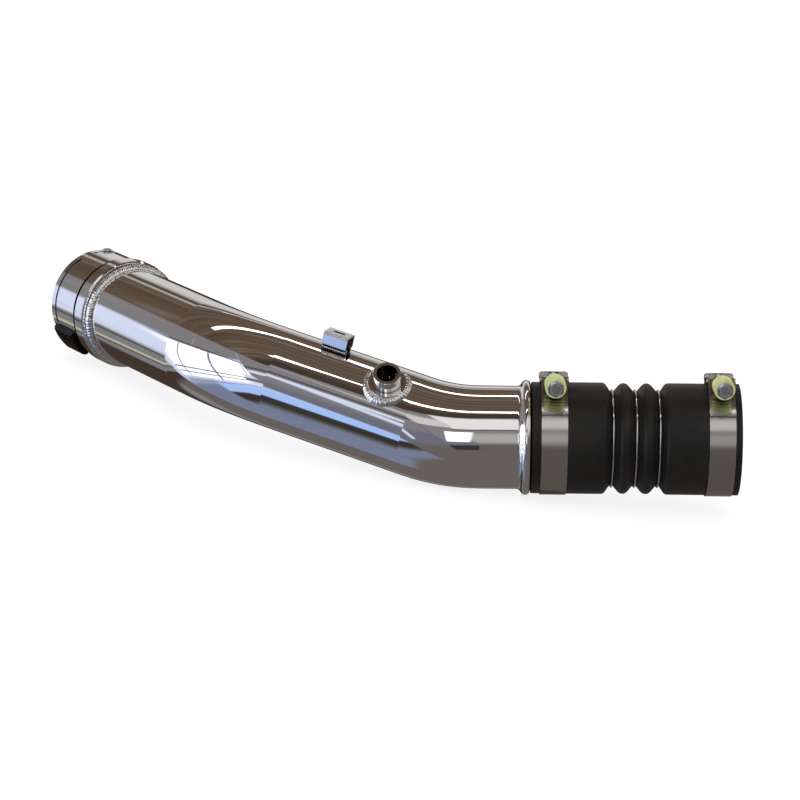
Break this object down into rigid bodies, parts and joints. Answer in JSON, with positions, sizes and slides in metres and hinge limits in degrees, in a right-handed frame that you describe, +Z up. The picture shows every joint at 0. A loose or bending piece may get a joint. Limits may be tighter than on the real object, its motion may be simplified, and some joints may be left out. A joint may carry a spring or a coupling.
{
  "type": "intercooler pipe",
  "caption": "Bent polished charge air pipe with a clamped hump hose at one end, a quick-connect collar at the other, a threaded sensor bung and a slotted bracket.",
  "frame": {"origin": "centre of the hump hose's open end, on the hose axis", "axes": "+Z up as the pipe lies on a level surface; +X along the level line over the hose axis, out of the hose's open end (the hose axis itself rises 5.7 degrees towards +X); +Y to the rear, the side on which the quick-connect collar lies"},
  "size_m": [0.539, 0.3126, 0.1134],
  "materials": {
    "polished_tube": "mirror polished",
    "machined_collar": "turned and polished",
    "weld": "bright rippled weld",
    "turned_bung": "turned and polished",
    "bracket_sheet": "bright sheet",
    "hose_rubber": "satin black",
    "seal_rubber": "matt black",
    "black_plastic": "fine grain",
    "nylon": "natural nylon",
    "clip_wire": "spring wire",
    "ring_wire": "bright wire",
    "band_steel": "satin stainless",
    "bolt_steel": "bright threaded steel",
    "trunnion_steel": "satin",
    "plated_spring": "yellow zinc plate",
    "nut_steel": "zinc plate"
  },
  "bodies": {
    "root": {"charge_pipe": "polished_tube", "quick_connect_collar": "machined_collar", "collar_weld_bead": "weld", "collar_seal_ring": "seal_rubber", "retaining_clip": "clip_wire", "clip_lock": "black_plastic", "sensor_bung": "turned_bung", "bung_weld_bead": "weld", "mounting_bracket": "bracket_sheet", "bracket_weld_beads": "weld", "hump_hose": "hose_rubber", "hose_ring_1": "ring_wire", "hose_ring_2": "ring_wire", "hose_ring_3": "ring_wire", "clamp_a_band": "band_steel", "clamp_a_bridge": "band_steel", "clamp_a_t_bolt": "bolt_steel", "clamp_a_trunnion": "trunnion_steel", "clamp_a_spring": "plated_spring", "clamp_a_washer": "plated_spring", "clamp_a_lock_nut": "nut_steel", "clamp_a_nylon_insert": "nylon", "clamp_b_band": "band_steel", "clamp_b_bridge": "band_steel", "clamp_b_t_bolt": "bolt_steel", "clamp_b_trunnion": "trunnion_steel", "clamp_b_spring": "plated_spring", "clamp_b_washer": "plated_spring", "clamp_b_lock_nut": "nut_steel", "clamp_b_nylon_insert": "nylon"}
  },
  "joints": []
}
